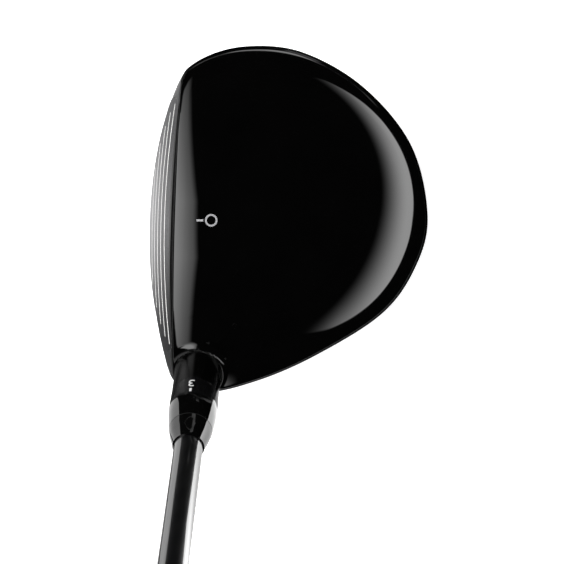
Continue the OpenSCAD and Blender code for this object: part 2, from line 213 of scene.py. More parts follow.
dark_reflection_material, tree = new_material("painted_dark_reflection_sheet")
surface(tree, matt_sheet(tree, 2, 2.0, "040404", "080808"))
reflector("black_flag", FLAG_EDGE, dark_reflection_material, FLAG_HIGH)
reflector("topline_flag", TOPLINE_FLAG_EDGE, dark_reflection_material, TOPLINE_FLAG_HIGH)
# Painted reflections: glowing cards seen only in gloss and metal, whose fades set bright patches and gradients on the
# face, hosel and sleeve.
glowing_reflection_card("face_card", FACE_CARD_EDGE, LOW_CARD_HIGH, [
    ("to heel", 38, -5, 0.0, 0.9), ("to heel", -40, -5, 0.35, 1.0), ("to back", -33, -25, 0.45, 1.0)], 0.1)
glowing_reflection_card("heel_card", HEEL_CARD_EDGE, LOW_CARD_HIGH, [("to back", 30, 10, 0.5, 1.0)])
glowing_reflection_card("front_card", FRONT_CARD_EDGE, HIGH_CARD_HIGH, [("to heel", 60, 28, 1.3, 1.9)])
glowing_reflection_card("back_card", BACK_CARD_EDGE, HIGH_CARD_HIGH, [("from dim end", 15, 50, 1.0, 6.0)])

# Studio: black walls with soft boxes, so that the lacquer shows a band behind the face, a
# crescent along the back and a thin one at the toe. Boxes are laid out on the plane 1 m overhead.
BACK_BOX_STRENGTH = 6.5
TOE_BOX_STRENGTH = 4.5
HEEL_BOX_STRENGTH = 3.0
FRONT_GLOW = 0.7
TOE_GLOW = 0.9
WALL_GLOW = 0.01
studio = bpy.data.worlds.new("studio")
bpy.context.scene.world = studio
studio.use_nodes = True
tree = studio.node_tree
tree.nodes.clear()
way_x, way_y, way_z = add_node(tree, "ShaderNodeSeparateXYZ", {
    0: add_node(tree, "ShaderNodeTexCoord").outputs["Generated"]}).outputs
overhead = add_node(tree, "ShaderNodeMath", {0: way_z, 1: 0.001}, operation="MAXIMUM").outputs[0]
over_x, over_y = (add_node(tree, "ShaderNodeMath", {0: way, 1: overhead}, operation="DIVIDE").outputs[0]
                  for way in (way_x, way_y))


def product(*values):
    result = values[0]
    for value in values[1:]:
        result = add_node(tree, "ShaderNodeMath", {0: result, 1: value}, operation="MULTIPLY").outputs[0]
    return result


def total(*values):
    result = values[0]
    for value in values[1:]:
        result = add_node(tree, "ShaderNodeMath", {0: result, 1: value}, operation="ADD").outputs[0]
    return result


def beyond(value, start):
    """How far a value lies past a start, or 0."""
    return add_node(tree, "ShaderNodeMath", {0: total(value, -start), 1: 0.0}, operation="MAXIMUM").outputs[0]


def distance_from(x, y):
    """Distance from a point of the overhead plane, in metres."""
    dx, dy = total(over_x, -x), total(over_y, -y)
    squared = total(product(dx, dx), product(dy, dy))
    return add_node(tree, "ShaderNodeMath", {0: squared}, operation="SQRT").outputs[0]


def lit_within(*borders):
    """1 inside all borders and 0 outside: each is a value with where it is still dark and where full."""
    return product(*[add_node(tree, "ShaderNodeMapRange", {0: value, 1: dark, 2: full},
                              interpolation_type="SMOOTHSTEP").outputs[0] for value, dark, full in borders])


# Front box: a strip whose outer edge is sharp and brightest, over the line where crown meets face.
# Its inner edge is straight with ends that bend away, and its outer one bows.
from_middle, to_toe = total(over_x, 0.1), product(over_x, -1.0)
bow = product(from_middle, from_middle)
taper = total(product(beyond(to_toe, 0.15), 0.176), product(beyond(over_x, 0.2), 0.21))
inward = total(-0.262, product(taper, -1.0), product(over_y, -1.0))
over_face = lit_within((over_x, -0.95, -0.72), (over_x, 0.58, 0.48))
toe_end = beyond(to_toe, 1.15)
outward = total(over_y, 0.495, product(bow, 0.055), product(over_face, 1.6),
                product(lit_within((over_x, 0.3, 0.6)), 0.022), product(toe_end, toe_end, -0.9))
from_strip = total(over_y, 0.45)
heel_end = total(over_x, product(from_strip, from_strip, 6.0))
front_box = total(product(lit_within((inward, 0.0, 0.06)), 1.5), product(lit_within((inward, 0.02, 0.24)), 3.6))
front_box = product(front_box, lit_within((outward, 0.0, 0.012), (heel_end, 0.97, 0.93), (over_x, -1.62, -1.58)),
                    total(product(bow, -0.3), 1.0))
# Back box: a crescent, sharp outside and fading inwards. Toe box: a thin arc. Heel box: a patch.
back_box = lit_within((distance_from(-0.381, 0.552), 1.15, 1.13), (distance_from(-0.462, -0.105), 1.30, 1.72),
                      (over_y, 0.45, 0.8))
toe_arc = distance_from(-0.70, 0.309)
toe_box = lit_within((toe_arc, 1.34, 1.33), (toe_arc, 1.255, 1.275), (over_x, -1.3, -1.6))
heel_box = lit_within((over_x, 1.08, 1.26), (over_x, 1.7, 1.6), (over_y, -0.6, -0.55), (over_y, 0.0, -0.2))
# Front wall: a dim glow low over the horizon, which only upright surfaces mirror, and a narrow
# strip of it at the toe.
front_wall = lit_within((way_z, 0.40, 0.22), (way_y, -0.4, -0.65))
short_of_toe = add_node(tree, "ShaderNodeMath", {0: way_x, 1: -0.001}, operation="MINIMUM").outputs[0]
bearing = add_node(tree, "ShaderNodeMath", {0: way_y, 1: short_of_toe}, operation="DIVIDE").outputs[0]
toe_strip = lit_within((way_z, 0.40, 0.22), (bearing, -0.18, -0.24), (bearing, -0.46, -0.40), (way_x, 0.0, -0.1))
light = total(product(back_box, BACK_BOX_STRENGTH), front_box, product(toe_box, TOE_BOX_STRENGTH),
              product(heel_box, HEEL_BOX_STRENGTH), product(front_wall, FRONT_GLOW), product(toe_strip, TOE_GLOW),
              WALL_GLOW)
strength = add_node(tree, "ShaderNodeMix", {0: seen_directly(tree), 2: light, 3: 1.0}, data_type="FLOAT").outputs[0]
background = add_node(tree, "ShaderNodeBackground", {"Color": (1, 1, 1, 1), "Strength": strength})
tree.links.new(background.outputs[0], add_node(tree, "ShaderNodeOutputWorld").inputs["Surface"])

# Fill lamp: one large soft lamp high over the target side. It lights paint, rubber and paper to
# about their written colour, and its own shape isn't mirrored.
FILL_AT = Vector((-0.3, -0.9, 2.4))
FILL_WIDE = 1.6
FILL_WATTS = 60
fill = bpy.data.objects.new("fill_lamp", bpy.data.lights.new("fill_lamp", "AREA"))
fill.data.shape = "DISK"
fill.data.size = FILL_WIDE
fill.data.energy = FILL_WATTS
fill.location = FILL_AT
fill.rotation_euler = (-FILL_AT).to_track_quat("-Z", "Y").to_euler()
fill.visible_glossy = False
bpy.context.scene.collection.objects.link(fill)

# Crown: a thin steel shell bonded in a seat of the cast body, filled flush over the joint and
# sprayed with deep black lacquer, flatted and polished. It rounds over into the skirt.
RIM_POINTS = np.array([
    (-3, 66.1), (-25, 61), (-43, 46.2), (-53.8, 27.3), (-55.5, 10), (-51.5, -3.5), (-43, -12.5), (-28, -20),
    (0, -27), (28, -25), (45.5, -15.5), (51.2, -3), (48, 13), (40.2, 31.2), (27.3, 51.8), (13, 62.2),
])
HEAD_CENTRE = np.array([-3.0, 20.0])
LOFT = 17
FACE_R = 280
FACE_MID = np.array([6, -17.6, 20])
FACE_BALL = FACE_MID + FACE_R * np.array([0, math.cos(math.radians(LOFT)), -math.sin(math.radians(LOFT))])
CROWN_H = 40
CROWN_T = 1
CROWN_PEAK = (-2, 4)
CROWN_FALL = {"toe": 0.0052, "heel": 0.0045, "back": 0.0049, "front": 0.006}
LEDGE_W = 4
LEDGE_T = 1
WALL_T = 1.3
FRAME_T = 4.4
SOLE_T = 2.2
PAD_H = 0.6
SOLE_LOW_Y = 4
SOLE_RISE = {"side": 0.0038, "back": 0.0029, "front": 0.0035}
SKIRT_IN = 3
SKIRT_BLEND = 3
RIM_DROP = 2
CROWN_ROUND = (0.4, 1.4)
SOLE_ROUND = (4.5, 12)
SEAM_ROUND = (0.8, 1.4)
SEAM_IN = 1.2
LIE = 57
AXIS_FOOT = np.array([25.4, -4.2, 0])
HOSEL_R = 7.1
HOSEL_PLAN = np.array([47, -4.2])
HOSEL_KEEP_R = 17
FILLET_R = 2
SPOKES = 560


def rim(count):
    """The rim's plan outline through its points, drawn finest by the hosel."""
    u = np.interp(np.arange(count) / count, (0, 0.38, 0.78, 1), (0, 9.3, 12.9, 16))
    i = u.astype(int)
    f = (u - i)[:, None]
    a, b, c, d = (RIM_POINTS[(i + k) % len(RIM_POINTS)] for k in (-1, 0, 1, 2))
    return 0.5 * (2 * b + (c - a) * f + (2 * a - 5 * b + 4 * c - d) * f**2 + (3 * b - a - 3 * c + d) * f**3)


def crown_z(p):
    x, y = p[..., 0] - CROWN_PEAK[0], p[..., 1] - CROWN_PEAK[1]
    return (CROWN_H - np.where(x < 0, CROWN_FALL["toe"], CROWN_FALL["heel"]) * x * x
            - np.where(y > 0, CROWN_FALL["back"], CROWN_FALL["front"]) * y * y)


def sole_z(p):
    x, y = p[..., 0], p[..., 1] - SOLE_LOW_Y
    return PAD_H + SOLE_RISE["side"] * x * x + np.where(y > 0, SOLE_RISE["back"], SOLE_RISE["front"]) * y * y


def bend(a, b, c, t):
    """A rounded corner from a to c, drawn towards b."""
    return (1 - t)**2 * a + 2 * t * (1 - t) * b + t * t * c


def mix(a, b, t):
    return a + (b - a) * np.clip(t, 0, 1)


def top_round(y):
    """Width of the rounding at the crown's edge: crisp over the face, fuller round the back."""
    return mix(*CROWN_ROUND, (y + 18) / 19)


class Head:
    """The head along level spokes from its centre to the rim; inset 1 gives its hollow."""

    def __init__(self, count):
        points = rim(count)
        ray = points - HEAD_CENTRE
        self.count = count
        self.length = np.linalg.norm(ray, axis=1)
        self.way = ray / self.length[:, None]
        self.rim_z = crown_z(points) - RIM_DROP
        r1 = self.corner(crown_z, 0, 0)
        y = self.plan(r1)[:, 1]
        towards = self.way @ (HOSEL_PLAN - HEAD_CENTRE)
        gap = HOSEL_KEEP_R**2 - np.sum((HOSEL_PLAN - HEAD_CENTRE)**2) + towards**2
        clear = np.where((towards > 0) & (gap > 0), towards - np.sqrt(np.maximum(gap, 0)), self.length)
        self.seam = np.minimum(r1 - mix(*SEAM_ROUND, (y + 11) / 12) - SEAM_IN, clear)
        self.top_edge = r1 - top_round(y)

    def plan(self, r):
        return HEAD_CENTRE + self.way * np.reshape(r, (-1, 1))

    def wall_reach(self, z, inset):
        """How far the spokes reach at a height: to the face or the skirt, blended between them."""
        t = np.clip((self.rim_z - z) / self.rim_z, 0, 1)
        v = HEAD_CENTRE - FACE_BALL[:2]
        b = self.way @ v
        face = -b + np.sqrt(b * b - v @ v - (z - FACE_BALL[2])**2 + FACE_R**2) - inset * FRAME_T
        skirt = self.length - SKIRT_IN * t * t - inset * WALL_T
        h = np.maximum(SKIRT_BLEND - abs(skirt - face), 0) / SKIRT_BLEND
        return np.minimum(skirt, face) - h * h * SKIRT_BLEND / 4

    def corner(self, surface, lift, inset):
        """Where the wall meets the crown or the sole."""
        r = self.length.copy()
        for _ in range(40):
            r = 0.5 * r + 0.5 * self.wall_reach(surface(self.plan(r)) + lift, inset)
        return r

    def row(self, r, z):
        return np.column_stack([self.plan(r * np.ones(self.count)), z * np.ones(self.count)])

    def crown_row(self, r, below=0):
        return self.row(r, crown_z(self.plan(r)) - below)

    def sole_row(self, r, above=0):
        return self.row(r, sole_z(self.plan(r)) + above)

    def edge_rows(self, inset, n_top, n_wall, n_low):
        """Rows from the crown's edge round the rim, down the wall and round into the sole."""
        down, up = inset * (CROWN_T + LEDGE_T), inset * SOLE_T
        r1, r2 = self.corner(crown_z, -down, inset), self.corner(sole_z, up, inset)
        p1 = self.plan(r1)
        z1, z2 = crown_z(p1) - down, sole_z(self.plan(r2)) + up
        f1 = top_round(p1[:, 1])
        f2 = mix(*SOLE_ROUND, np.maximum((abs(p1[:, 0]) - 10) / 32, (p1[:, 1] + 8) / 16))
        f2 = np.minimum(f2, z1 - z2 - f1 - 0.6)
        top_a, top_c = r1 - f1, self.wall_reach(z1 - f1, inset)
        low_a, low_c = self.wall_reach(z2 + f2, inset), r2 - 1.2 * f2
        rows = [self.row(bend(top_a, r1, top_c, t), bend(crown_z(self.plan(top_a)) - down, z1, z1 - f1, t))
                for t in np.linspace(0, 1, n_top)]
        for t in np.linspace(0, 1, n_wall + 2)[1:-1]:
            z = mix(z1 - f1, z2 + f2, t)
            rows.append(self.row(self.wall_reach(z, inset), z))
        rows += [self.row(bend(low_a, r2, low_c, t), bend(z2 + f2, z2, sole_z(self.plan(low_c)) + up, t))
                 for t in np.linspace(0, 1, n_low)]
        return rows, low_c


def on_axis(foot, tilt):
    """Placing matrix of a frame whose Z leans from upright towards the heel, in millimetres."""
    return Matrix.Translation(foot) @ Matrix.Rotation(math.radians(tilt), 4, "Y")


HOSEL_FRAME = on_axis(AXIS_FOOT, 90 - LIE)
AXIS_WAY = np.array(HOSEL_FRAME.to_3x3().col[2])


def fillet(points):
    """Draws the skin near the hosel up along it, as the fillet between them."""
    out = points - AXIS_FOOT
    along = out @ AXIS_WAY
    gap = np.linalg.norm(out - along[:, None] * AXIS_WAY, axis=1) - HOSEL_R
    d = np.clip(gap, 0, FILLET_R)
    lift = FILLET_R - np.sqrt(FILLET_R**2 - (FILLET_R - d)**2)
    return points + AXIS_WAY * (lift * np.clip((points[:, 2] - 8) / 6, 0, 1))[:, None]


def closed_skin(name, rows, first_pole, last_pole, crisp):
    """A closed mesh from rings of points, with a middle point at each end."""
    count, last = len(rows[0]), len(rows) - 1
    points = np.vstack([*rows, first_pole, last_pole])
    faces = [(j * count + (i + 1) % count, j * count + i, (j + 1) * count + i, (j + 1) * count + (i + 1) % count)
             for j in range(last) for i in range(count)]
    faces += [(len(points) - 2, i, (i + 1) % count) for i in range(count)]
    faces += [(len(points) - 1, last * count + (i + 1) % count, last * count + i) for i in range(count)]
    return mesh_piece(name, points, faces, crisp)


head = Head(SPOKES)
crown_top = [head.crown_row(head.seam * t) for t in
             np.concatenate([np.linspace(0, 0.94, 34)[1:], np.linspace(0.95, 1, 8)])]
crown_under = [head.crown_row(head.seam * t, CROWN_T) for t in (0.25, 0.5, 0.75, 1)]
middle = np.array([*HEAD_CENTRE, crown_z(HEAD_CENTRE)])
crown = closed_skin("crown_shell", [fillet(row) for row in crown_under + crown_top[::-1]],
                    middle - (0, 0, CROWN_T), middle, 40)
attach(crown, "head")
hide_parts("crown")


def finish(tree, tint, dark, light, rough=None, relief=None, sockets=None):
    """The shader of a finish; a pattern is a socket, or the size in mm and detail of soft patches.

    The colour runs from dark to light with its pattern, the roughness between two numbers, and the
    relief rises by a depth in millimetres.
    """
    place = add_node(tree, "ShaderNodeTexCoord").outputs["Object"]
    drawn = []
    for pattern in (tint, rough and rough[0], relief and relief[0]):
        if isinstance(pattern, tuple):
            pattern = add_node(tree, "ShaderNodeTexNoise", {
                "Vector": place, "Scale": 1 / (pattern[0] * MM), "Detail": pattern[1]}).outputs["Fac"]
        drawn.append(pattern)
    made = {**(sockets or {}), "Base Color": add_node(tree, "ShaderNodeMix", {
        0: drawn[0], 6: colour(dark), 7: colour(light)}, data_type="RGBA").outputs[2]}
    if rough:
        made["Roughness"] = add_node(tree, "ShaderNodeMapRange", {
            0: drawn[1], 1: 0.3, 2: 0.7, 3: rough[1], 4: rough[2]}).outputs[0]
    if relief:
        made["Normal"] = add_node(tree, "ShaderNodeBump", {
            "Height": drawn[2], "Distance": relief[1] * MM}).outputs["Normal"]
    surface(tree, add_node(tree, "ShaderNodeBsdfPrincipled", made))


# Black lacquer under clear coat: polished acrylic, so it mirrors like black glass. The last trace
# of orange peel, waves about 4 mm long, bends the mirrored boxes slightly.
LACQUER = ("010101", "030303")
LACQUER_ROUGH = (0.012, 0.024)
PEEL_DEEP = 0.0006
lacquer, tree = new_material("black_acrylic_lacquer")
finish(tree, (12, 2.0), *LACQUER, rough=((9, 2.0), *LACQUER_ROUGH), relief=((4, 0.0), PEEL_DEEP), sockets={"IOR": 1.5})
dress(crown, lacquer)

# Alignment mark: a small ring with a short bar that points at the target, pad-printed on the
# middle of the crown. The ink is an even grey with a low shine.
def crown_strip(left, right, closed):
    """Points and faces of a thin band laid on the crown between two lines."""
    n = len(left)
    points = [(*p, crown_z(p) + lift) for lift in (INK_T, -0.3) for line in (left, right) for p in line]
    faces = []
    for i in range(n if closed else n - 1):
        a, b = i, (i + 1) % n
        faces += [(a, b, n + b, n + a), (2 * n + a, 3 * n + a, 3 * n + b, 2 * n + b),
                  (a, 2 * n + a, 2 * n + b, b), (n + a, n + b, 3 * n + b, 3 * n + a)]
    if not closed:
        faces += [(0, n, 3 * n, 2 * n), (n - 1, 3 * n - 1, 4 * n - 1, 2 * n - 1)]
    return points, faces


MARK_AT = np.array([-1.1, 0.6])
MARK_R = 1.9
RING_W = 0.55
BAR_W = 0.64
BAR_Y = (-4.5, -2.4)
INK_T = 0.012
angles = np.linspace(0, 2 * math.pi, 64, endpoint=False)
circle = np.column_stack([np.cos(angles), np.sin(angles)])
ring_points, ring_faces = crown_strip(MARK_AT + MARK_R * circle, MARK_AT + (MARK_R - RING_W) * circle, True)
bar_y = np.linspace(*BAR_Y, 9)
bar_sides = [MARK_AT + np.column_stack([0 * bar_y + x, bar_y]) for x in (-BAR_W / 2, BAR_W / 2)]
bar_points, bar_faces = crown_strip(*bar_sides, False)
mark_faces = ring_faces + [tuple(i + len(ring_points) for i in face) for face in bar_faces]
mark = mesh_piece("alignment_mark", ring_points + bar_points, mark_faces, 30)
print_ink, tree = new_material("pad_print_ink")
finish(tree, (0.4, 2.0), "8e8e90", "9c9c9e", sockets={"Roughness": 0.2})
dress(mark, print_ink)
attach(mark, "head")

# Cast body: investment-cast stainless steel with sole, skirt, face frame and hosel in one piece.
# The hosel bore, screw port, slot and face pocket are machined. The face frame stays satin
# steel; the rest is sprayed with the crown.
HOSEL_TOP = 49.8
HOSEL_BORE_R = 5.6
HOSEL_BORE_LOW = 17
HOSEL_CHAMFER = 0.25
SCREW_HEAD_BORE_R = 4.9
SCREW_HEAD_BORE_TOP = 14
SCREW_HOLE_R = 2.7
TAB_H = 1.6
TAB_W = 5.6
TAB_END_W = 2.8
PAD_R = 7
PORT_AT = np.array([-2, 46])
PORT_R = 7.1
PORT_DEPTH = 3.4
PORT_THREAD_R = 4.05
PORT_BOSS_R = PORT_R + 2.1
PORT_BOSS_H = 8.5
SLOT_Y = -12
SLOT_W = 3.2
SLOT_HALF = 22
SLOT_DEPTH = 5.5
SLOT_WALL = 1.2
INSERT_T = 2.4
INSERT_SIDE = 39.2
INSERT_TOP = 13.2
INSERT_LOW = -17.1
INSERT_LOW_R = 47.5
INSERT_CORNER = 7
INSERT_X = -6.5
INSERT_GAP = 0.09
SEAT_W = 2.8
PAINT_EDGE = 0.12
PORT_FRAME = (Matrix.Translation((*PORT_AT, float(sole_z(PORT_AT))))
              @ Matrix.Rotation(math.atan(2 * SOLE_RISE["back"] * (PORT_AT[1] - SOLE_LOW_Y)), 4, "X"))
FACE_FRAME = Matrix.Translation(FACE_MID) @ Matrix.Rotation(math.radians(90 - LOFT), 4, "X")


def placed(points, frame_matrix):
    m = np.array(frame_matrix)
    return np.asarray(points, float) @ m[:3, :3].T + m[:3, 3]


def turned(name, profile, frame_matrix, segments=96, crisp=30):
    """A solid of revolution about the frame's Z; the profile's two ends lie on the axis."""
    angles = np.linspace(0, 2 * math.pi, segments, endpoint=False)
    rows = [placed(np.column_stack([r * np.cos(angles), r * np.sin(angles), z * np.ones(segments)]), frame_matrix)
            for r, z in profile[1:-1]]
    first, last = placed([(0, 0, profile[0][1]), (0, 0, profile[-1][1])], frame_matrix)
    return closed_skin(name, rows, first, last, crisp)


def curved_strip(name, half, width, deep_from, deep_to):
    """A solid strip that follows the sole's curve from heel to toe."""
    radius = 1 / (2 * SOLE_RISE["side"])
    centre = radius + float(sole_z(np.array([0, SLOT_Y])))
    xs = np.linspace(-half, half, 65)
    ring = []
    for y, depth in ((-1, deep_from), (1, deep_from), (1, deep_to), (-1, deep_to)):
        z = centre - np.sqrt((radius - depth)**2 - xs**2)
        ring.append(np.column_stack([xs, SLOT_Y + y * width / 2 + 0 * xs, z]))
    points = np.stack(ring, axis=1).reshape(-1, 3)
    n = len(xs)
    faces = [(4 * i + k, 4 * i + (k + 1) % 4, 4 * i + 4 + (k + 1) % 4, 4 * i + 4 + k) for i in range(n - 1)
             for k in range(4)]
    faces += [(3, 2, 1, 0), (4 * n - 4, 4 * n - 3, 4 * n - 2, 4 * n - 1)]
    return mesh_piece(name, points, faces, 30)


def insert_outline(grow):
    """The insert's outline square to the face: an arc below, straight sides and top, round corners."""
    side, corner, low_up = INSERT_SIDE, INSERT_CORNER, INSERT_LOW + INSERT_LOW_R
    angle = math.acos((side - corner * 0.6) / INSERT_LOW_R)
    side_z = low_up - INSERT_LOW_R * math.sin(angle)
    a = np.linspace(math.pi + angle, 2 * math.pi - angle, 61)
    t = np.linspace(0, 1, 14)[1:, None]
    low = np.array([(side - corner * 0.6, side_z), (side, side_z + corner * 0.4), (side, side_z + corner * 0.9)])
    top = np.array([(side, INSERT_TOP - corner), (side, INSERT_TOP), (side - corner, INSERT_TOP)])
    right_side = np.vstack([bend(*low, t), top[0], bend(*top, t)])
    arc = np.column_stack([INSERT_LOW_R * np.cos(a), low_up + INSERT_LOW_R * np.sin(a)])
    outline = np.vstack([arc, right_side, (right_side * (-1, 1))[::-1]])
    ahead, behind = np.roll(outline, -1, axis=0), np.roll(outline, 1, axis=0)
    way = ahead - behind
    outward = np.column_stack([way[:, 1], -way[:, 0]]) / np.linalg.norm(way, axis=1)[:, None]
    return outline + grow * outward


def face_plug(name, outline, back, front, depth=None):
    """A solid through the face with that outline; its back may follow the face at a depth."""
    rows = []
    for f in (0.25, 0.5, 0.75, 0.9, 1.0):
        x, up = (outline * f).T
        x = x + INSERT_X
        z = back + 0 * x if depth is None else np.sqrt((FACE_R - depth)**2 - x * x - up * up) - FACE_R
        rows.append(np.column_stack([x, up, z]))
    rows.append(np.column_stack([outline[:, 0] + INSERT_X, outline[:, 1], front + 0 * outline[:, 0]]))
    mid_z = back if depth is None else math.sqrt((FACE_R - depth)**2 - INSERT_X**2) - FACE_R
    first, last = placed([(INSERT_X, 0, mid_z), (INSERT_X, 0, front)], FACE_FRAME)
    return closed_skin(name, [placed(row, FACE_FRAME) for row in rows], first, last, 30)


def radial_tabs(name, gap, r_in, r_out):
    """Four wedges with sloped flanks round the hosel's axis."""
    foot, end = TAB_W / 2 + gap, TAB_END_W / 2 + gap
    section = [(-foot, 1), (-foot, 0), (-end, -TAB_H - gap), (end, -TAB_H - gap), (foot, 0), (foot, 1)]
    points, faces = [], []
    for turn in range(4):
        about = Matrix.Rotation(turn * math.pi / 2, 4, "Z")
        start = len(points)
        for r in (r_in, r_out):
            points += [tuple(HOSEL_FRAME @ about @ Vector((r, side, HOSEL_TOP + up))) for side, up in section]
        faces += [(start + 5, start + 4, start + 3, start + 2, start + 1, start), tuple(range(start + 6, start + 12))]
        faces += [(start + k, start + (k + 1) % 6, start + 6 + (k + 1) % 6, start + 6 + k) for k in range(6)]
    return mesh_piece(name, points, faces, 30)


def hosel_blank():
    """The hosel's outside, closed below along the sole."""
    angles = np.linspace(0, 2 * math.pi, 128, endpoint=False)
    ring = np.column_stack([HOSEL_R * np.cos(angles), HOSEL_R * np.sin(angles)])
    low = np.zeros(len(ring))
    for _ in range(20):
        at = placed(np.column_stack([ring, low]), HOSEL_FRAME)
        low = low - (at[:, 2] - sole_z(at[:, :2]) - 1.0)
    rows = [placed(np.column_stack([ring, low]), HOSEL_FRAME)]
    rows += [placed(np.column_stack([ring, 0 * low + z]), HOSEL_FRAME)
             for z in (22, 30, 38, 44, HOSEL_TOP - HOSEL_CHAMFER)]
    lip = ring * (HOSEL_R - HOSEL_CHAMFER) / HOSEL_R
    rows.append(placed(np.column_stack([lip, 0 * low + HOSEL_TOP]), HOSEL_FRAME))
    middle = placed([(0, 0, low.mean()), (0, 0, HOSEL_TOP)], HOSEL_FRAME)
    return closed_skin("hosel_blank", rows, middle[0], middle[1], 30)


def machine(piece, tools):
    """Adds and cuts solids in turn, then drops them; edges over 28 degrees stay crisp."""
    for operation, tool in tools:
        cut = piece.modifiers.new(tool.name, "BOOLEAN")
        cut.operation, cut.object, cut.solver = operation, tool, "MANIFOLD"
    machined = bpy.data.meshes.new_from_object(piece.evaluated_get(bpy.context.evaluated_depsgraph_get()))
    piece.modifiers.clear()
    piece.data = machined
    for _, tool in tools:
        bpy.data.objects.remove(tool)
    machined.shade_smooth()
    machined.set_sharp_from_angle(angle=math.radians(28))


outer, sole_edge = head.edge_rows(0, 9, 14, 13)
inner, inner_edge = head.edge_rows(1, 3, 3, 4)
ledge = head.seam - LEDGE_W
rows = [head.sole_row(sole_edge * f) for f in np.linspace(0, 1, 15)[1:-1]]
rows += outer[::-1]
rows += [head.crown_row(mix(head.top_edge, head.seam, t)) for t in np.linspace(0, 1, 40)[1:]]
rows = [fillet(row) for row in rows]
rows += [fillet(head.crown_row(head.seam, CROWN_T)), head.crown_row(ledge, CROWN_T),
         head.crown_row(ledge, CROWN_T + LEDGE_T)]
rows += inner + [head.sole_row(inner_edge * f, SOLE_T) for f in (0.75, 0.5, 0.25)]
low_middle = np.array([*HEAD_CENTRE, sole_z(HEAD_CENTRE)])
body = closed_skin("head_body", rows, low_middle, low_middle + (0, 0, SOLE_T), 40)

machine(body, [
    ("UNION", hosel_blank()),
    ("UNION", turned("port_boss", [
        (0, 0.8), (PORT_BOSS_R, 0.8), (PORT_BOSS_R, PORT_BOSS_H), (0, PORT_BOSS_H)], PORT_FRAME)),
    ("UNION", curved_strip(
        "slot_trough", SLOT_HALF + SLOT_WALL, SLOT_W + 2 * SLOT_WALL, 1.2, SLOT_DEPTH + SLOT_WALL)),
    ("UNION", turned("sole_pad", [
        (0, 0), (PAD_R - 0.4, 0), (PAD_R, 0.15), (PAD_R, SOLE_T), (0, SOLE_T)], Matrix.Identity(4))),
    ("DIFFERENCE", turned("hosel_bores", [
        (0, -8), (SCREW_HEAD_BORE_R, -8), (SCREW_HEAD_BORE_R, SCREW_HEAD_BORE_TOP),
        (SCREW_HOLE_R, SCREW_HEAD_BORE_TOP), (SCREW_HOLE_R, HOSEL_BORE_LOW), (HOSEL_BORE_R, HOSEL_BORE_LOW),
        (HOSEL_BORE_R, 55), (0, 55)], HOSEL_FRAME)),
    ("DIFFERENCE", radial_tabs("hosel_notches", 0.1, HOSEL_BORE_R - 1, HOSEL_R + 1)),
    ("DIFFERENCE", turned("port_bore", [
        (0, -5), (PORT_R, -5), (PORT_R, PORT_DEPTH), (PORT_THREAD_R, PORT_DEPTH), (PORT_THREAD_R, 20), (0, 20)],
        PORT_FRAME)),
    ("DIFFERENCE", curved_strip("slot_cut", SLOT_HALF, SLOT_W, -3, SLOT_DEPTH)),
    ("DIFFERENCE", face_plug("face_pocket", insert_outline(INSERT_GAP), 0, 10, INSERT_T)),
    ("DIFFERENCE", face_plug("face_window", insert_outline(-SEAT_W), -FRAME_T - 2.6, 0)),
])
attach(body, "head")
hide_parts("body")

# Satin stainless steel, ground with fine grit, and black lacquer up to the face's edge: the
# metal shows a soft grey sheen with fine upright grind lines, the paint a mirror.
PAINT_END_R = HOSEL_R + 0.2
TOPLINE_UP = 15.4
TOPLINE_DROOP = (0.0012, 0.0035)


def off_face(tree):
    """Height over the face's curve, in millimetres."""
    place = add_node(tree, "ShaderNodeTexCoord").outputs["Object"]
    far = add_node(tree, "ShaderNodeVectorMath", {0: place, 1: tuple(FACE_BALL * MM)}, operation="DISTANCE")
    return add_node(tree, "ShaderNodeMath", {0: far.outputs["Value"], 1: 1 / MM, 2: -FACE_R},
                    operation="MULTIPLY_ADD").outputs[0]


def under_topline(tree):
    """1 on the face, 0 above the masked line at its top, which drops towards the heel."""
    out = add_node(tree, "ShaderNodeVectorMath", {
        0: add_node(tree, "ShaderNodeTexCoord").outputs["Object"], 1: tuple(FACE_MID * MM)},
        operation="SUBTRACT").outputs[0]
    up = add_node(tree, "ShaderNodeVectorMath", {0: out, 1: tuple(FACE_FRAME.to_3x3().col[1] / MM)},
                  operation="DOT_PRODUCT").outputs["Value"]
    x = add_node(tree, "ShaderNodeMath", {0: add_node(tree, "ShaderNodeSeparateXYZ", {0: out}).outputs[0],
                                          1: 1 / MM, 2: 8.0}, operation="MULTIPLY_ADD").outputs[0]
    heel_side = add_node(tree, "ShaderNodeMath", {0: x, 1: 0.0}, operation="GREATER_THAN").outputs[0]
    droop = add_node(tree, "ShaderNodeMix", {0: heel_side, 2: TOPLINE_DROOP[0], 3: TOPLINE_DROOP[1]},
                     data_type="FLOAT").outputs[0]
    squared = add_node(tree, "ShaderNodeMath", {0: x, 1: x}, operation="MULTIPLY").outputs[0]
    line = add_node(tree, "ShaderNodeMath", {0: squared, 1: droop, 2: up}, operation="MULTIPLY_ADD").outputs[0]
    return add_node(tree, "ShaderNodeMapRange", {0: line, 1: TOPLINE_UP, 2: TOPLINE_UP - 0.1}).outputs[0]


def grind(tree, width_mm, length_mm):
    """Fine grind lines that run from the sole up to the crown."""
    stretched = add_node(tree, "ShaderNodeMapping", {
        "Vector": add_node(tree, "ShaderNodeTexCoord").outputs["Object"],
        "Scale": (1 / (width_mm * MM), 1 / (length_mm * MM), 1 / (length_mm * MM)),
    }).outputs[0]
    return add_node(tree, "ShaderNodeTexNoise", {"Vector": stretched, "Scale": 1.0, "Detail": 3.0}).outputs["Fac"]


def from_hosel_foot(tree):
    """The way from the foot of the hosel's axis."""
    return add_node(tree, "ShaderNodeVectorMath", {
        0: add_node(tree, "ShaderNodeTexCoord").outputs["Object"], 1: tuple(AXIS_FOOT * MM)},
        operation="SUBTRACT").outputs[0]


